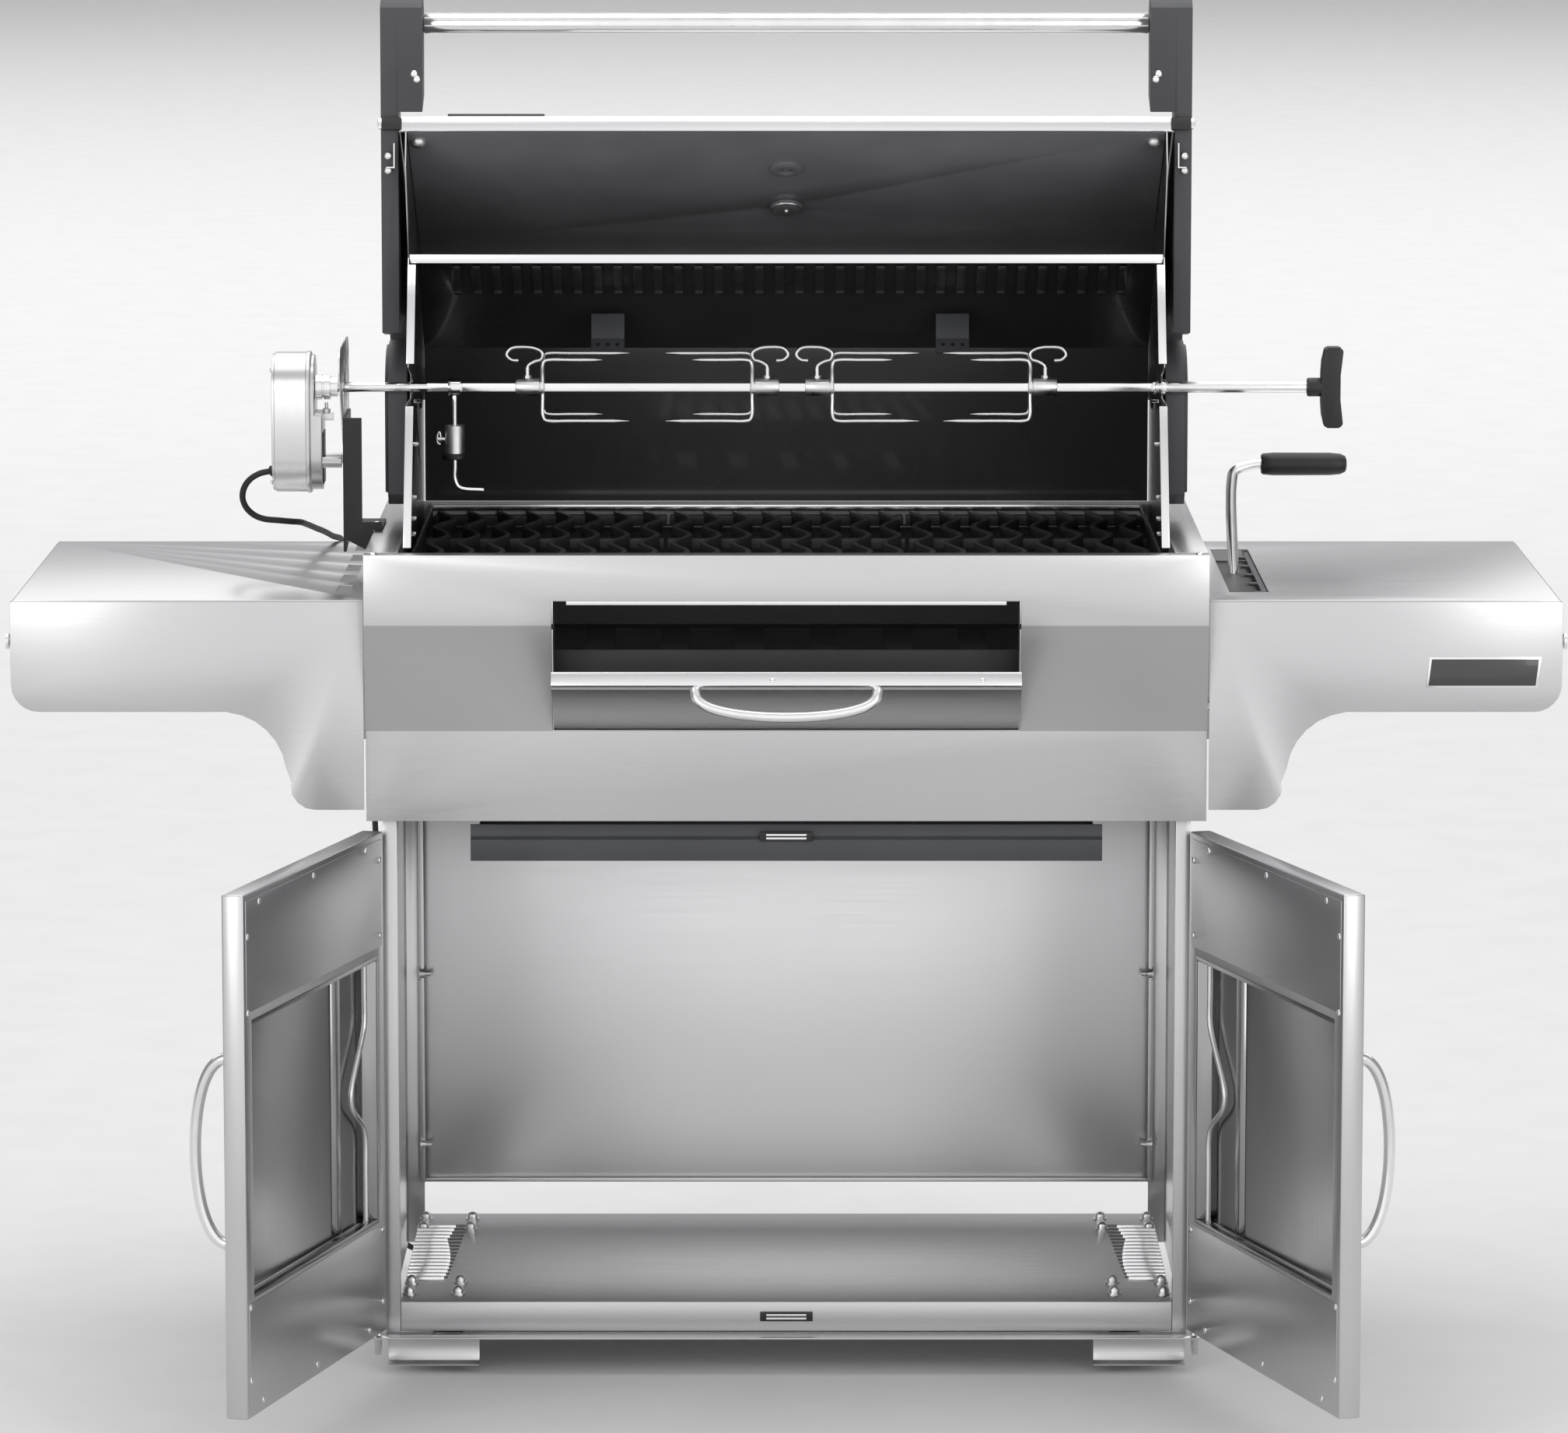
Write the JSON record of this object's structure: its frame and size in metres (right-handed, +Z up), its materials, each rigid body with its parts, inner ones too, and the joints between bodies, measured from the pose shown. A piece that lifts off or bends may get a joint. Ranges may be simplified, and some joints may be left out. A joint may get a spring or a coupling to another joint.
{
  "type": "charcoal grill with rotisserie",
  "caption": "Stainless charcoal cart grill with open roll-top lid, motor-driven rotisserie spit, coal-height lever, side shelves and an open cabinet with hinged doors, on casters.",
  "frame": {"origin": "middle of the footprint on the ground, the loose mains lead aside", "axes": "+Z up, -Y the front with the doors, +X to the right of someone facing the grill, along its width"},
  "size_m": [1.7006, 0.9975, 1.4992],
  "materials": {
    "stainless": "brushed stainless sheet, light grey",
    "chrome": "bright plated bar and rod",
    "dark_enamel": "glossy near-black enamel",
    "cast_grey": "dark grey textured paint on castings",
    "iron": "matt black cast iron",
    "dark_paint": "satin black paint",
    "black_plastic": "moulded black plastic",
    "caster_tread": "black tread",
    "cord_rubber": "black flexible sheath"
  },
  "bodies": {
    "cart": {"body_shell": "stainless", "cabinet_back": "stainless", "cabinet_floor": "stainless", "cabinet_left_side": "stainless", "cabinet_right_side": "stainless", "cord_coil": "cord_rubber", "door_sill": "stainless", "fascia": "stainless", "firebox": "dark_enamel", "grate_left": "iron", "grate_middle": "iron", "grate_right": "iron", "hood_back": "dark_enamel", "hood_left_wall": "stainless", "hood_right_wall": "stainless", "left_end_casting": "cast_grey", "lever_gate": "dark_paint", "motor_bracket": "dark_paint", "motor_housing": "stainless", "power_cord": "cord_rubber", "power_plug": "black_plastic", "right_end_casting": "cast_grey", "shelf_knob_left": "chrome", "shelf_knob_right": "chrome", "shelf_left": "stainless", "shelf_right": "stainless", "strain_relief": "cord_rubber"},
    "lid": {"lid_shell": "stainless", "lid_liner": "dark_enamel", "lid_right_casting": "cast_grey", "lid_left_casting": "cast_grey", "lid_handle": "chrome", "thermometer": "chrome"},
    "left_door": {"door_left": "stainless", "door_left_handle": "chrome"},
    "right_door": {"door_right": "stainless", "door_right_handle": "chrome"},
    "coals_door": {"charcoal_door": "stainless", "charcoal_door_handle": "chrome"},
    "pan": {"ash_pan": "dark_paint"},
    "spit": {"spit_rod": "chrome", "spit_handle": "black_plastic", "motor_coupling": "chrome", "counterweight_arm": "chrome"},
    "balance_weight": {"counterweight": "chrome"},
    "bed_lever": {"lever_arm": "chrome", "lever_grip": "black_plastic"},
    "coals_bed": {"charcoal_tray": "iron"},
    "fork_body_1": {"fork_1": "chrome"},
    "fork_body_2": {"fork_2": "chrome"},
    "fork_body_3": {"fork_3": "chrome"},
    "fork_body_4": {"fork_4": "chrome"},
    "swivel_front_left": {"caster_yoke_front_left": "stainless"},
    "wheel_front_left": {"caster_wheel_front_left": "caster_tread"},
    "swivel_front_right": {"caster_yoke_front_right": "stainless"},
    "wheel_front_right": {"caster_wheel_front_right": "caster_tread"},
    "swivel_rear_left": {"caster_yoke_rear_left": "stainless"},
    "wheel_rear_left": {"caster_wheel_rear_left": "caster_tread"},
    "swivel_rear_right": {"caster_yoke_rear_right": "stainless"},
    "wheel_rear_right": {"caster_wheel_rear_right": "caster_tread"}
  },
  "joints": [
    {"name": "lid_hinge", "type": "hinge", "parent": "cart", "child": "lid", "pos_m": [0, 0.23233, 1.053], "axis": [1, 0, 0], "range_deg": [0, 96]},
    {"name": "left_door_hinge", "type": "hinge", "parent": "cart", "child": "left_door", "pos_m": [-0.449, -0.05067, 0.33], "axis": [0, 0, 1], "range_deg": [0, 106]},
    {"name": "right_door_hinge", "type": "hinge", "parent": "cart", "child": "right_door", "pos_m": [0.449, -0.05067, 0.33], "axis": [0, 0, -1], "range_deg": [0, 108]},
    {"name": "coals_door_hinge", "type": "hinge", "parent": "cart", "child": "coals_door", "pos_m": [0, -0.06267, 0.719], "axis": [-1, 0, 0], "range_deg": [0, 51.5]},
    {"name": "ash_pan_slide", "type": "slide", "parent": "cart", "child": "pan", "axis": [0, 1, 0], "range_m": [-0.3, 0]},
    {"name": "spit_turn", "type": "hinge", "parent": "cart", "child": "spit", "pos_m": [0, 0.16133, 1.069], "axis": [1, 0, 0], "continuous": true},
    {"name": "balance_weight_slide", "type": "slide", "parent": "spit", "child": "balance_weight", "axis": [0, 0, 1], "range_m": [-0.012, 0.02]},
    {"name": "fork_1_slide", "type": "slide", "parent": "spit", "child": "fork_body_1", "axis": [1, 0, 0], "range_m": [-0.03, 0.03]},
    {"name": "fork_2_slide", "type": "slide", "parent": "spit", "child": "fork_body_2", "axis": [1, 0, 0], "range_m": [-0.03, 0]},
    {"name": "fork_3_slide", "type": "slide", "parent": "spit", "child": "fork_body_3", "axis": [1, 0, 0], "range_m": [0, 0.02]},
    {"name": "fork_4_slide", "type": "slide", "parent": "spit", "child": "fork_body_4", "axis": [1, 0, 0], "range_m": [0, 0.08]},
    {"name": "lever_hinge", "type": "hinge", "parent": "cart", "child": "bed_lever", "pos_m": [0.5045, 0.20133, 0.71], "axis": [1, 0, 0], "range_deg": [-15, 75]},
    {"name": "coals_bed_lift", "type": "slide", "parent": "cart", "child": "coals_bed", "axis": [0, 0, 1], "range_m": [-0.0125, 0.06]},
    {"name": "swivel_front_left_turn", "type": "hinge", "parent": "cart", "child": "swivel_front_left", "pos_m": [-0.376, 0.02933, 0.067], "axis": [0, 0, 1], "continuous": true},
    {"name": "wheel_front_left_roll", "type": "hinge", "parent": "swivel_front_left", "child": "wheel_front_left", "pos_m": [-0.376, 0.04733, 0.025], "axis": [1, 0, 0], "continuous": true},
    {"name": "swivel_front_right_turn", "type": "hinge", "parent": "cart", "child": "swivel_front_right", "pos_m": [0.376, 0.02933, 0.067], "axis": [0, 0, 1], "continuous": true},
    {"name": "wheel_front_right_roll", "type": "hinge", "parent": "swivel_front_right", "child": "wheel_front_right", "pos_m": [0.376, 0.04733, 0.025], "axis": [1, 0, 0], "continuous": true},
    {"name": "swivel_rear_left_turn", "type": "hinge", "parent": "cart", "child": "swivel_rear_left", "pos_m": [-0.376, 0.37333, 0.067], "axis": [0, 0, 1], "continuous": true},
    {"name": "wheel_rear_left_roll", "type": "hinge", "parent": "swivel_rear_left", "child": "wheel_rear_left", "pos_m": [-0.376, 0.39133, 0.025], "axis": [1, 0, 0], "continuous": true},
    {"name": "swivel_rear_right_turn", "type": "hinge", "parent": "cart", "child": "swivel_rear_right", "pos_m": [0.376, 0.37333, 0.067], "axis": [0, 0, 1], "continuous": true},
    {"name": "wheel_rear_right_roll", "type": "hinge", "parent": "swivel_rear_right", "child": "wheel_rear_right", "pos_m": [0.376, 0.39133, 0.025], "axis": [1, 0, 0], "continuous": true}
  ],
  "couplings": [
    {"joint": "coals_bed_lift", "follows": "lever_hinge", "m_per_rad": 0.045}
  ]
}
